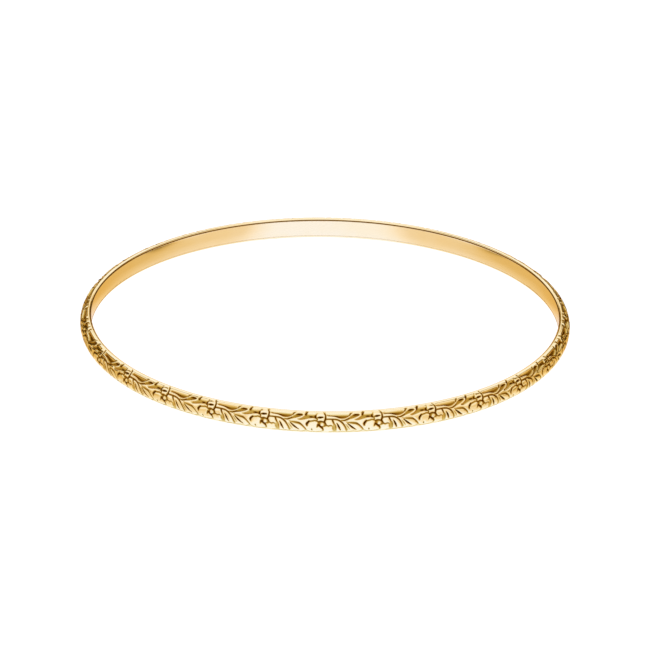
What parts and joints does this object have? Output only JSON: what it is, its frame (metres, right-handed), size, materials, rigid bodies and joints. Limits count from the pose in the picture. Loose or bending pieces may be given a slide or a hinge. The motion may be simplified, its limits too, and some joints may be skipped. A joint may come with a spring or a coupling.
{
  "type": "bangle bracelet",
  "caption": "Closed slip-on bangle: a narrow half-round band of polished yellow gold with embossed flowers and leaves outside and a smooth inner face.",
  "frame": {"origin": "centre of the ring, on the plane of the lower rim that the bangle rests on when it lies flat", "axes": "+Z is the ring's axis, out of the wrist opening; -Y is the front, and the butt joint is at +Y"},
  "size_m": [0.068, 0.068, 0.003],
  "materials": {
    "shell_gold": "mirror-polished yellow gold with darker recesses in the relief",
    "liner_gold": "mirror-polished yellow gold with faint polishing lines round the ring",
    "solder_gold": "gold solder, slightly paler and less polished",
    "sleeve_gold": "unpolished rolled gold sheet"
  },
  "bodies": {
    "root": {"embossed_shell": "shell_gold", "inner_liner": "liner_gold", "upper_seam_solder": "solder_gold", "lower_seam_solder": "solder_gold", "joint_sleeve": "sleeve_gold", "shell_joint_solder": "solder_gold", "liner_joint_solder": "solder_gold"}
  },
  "joints": []
}
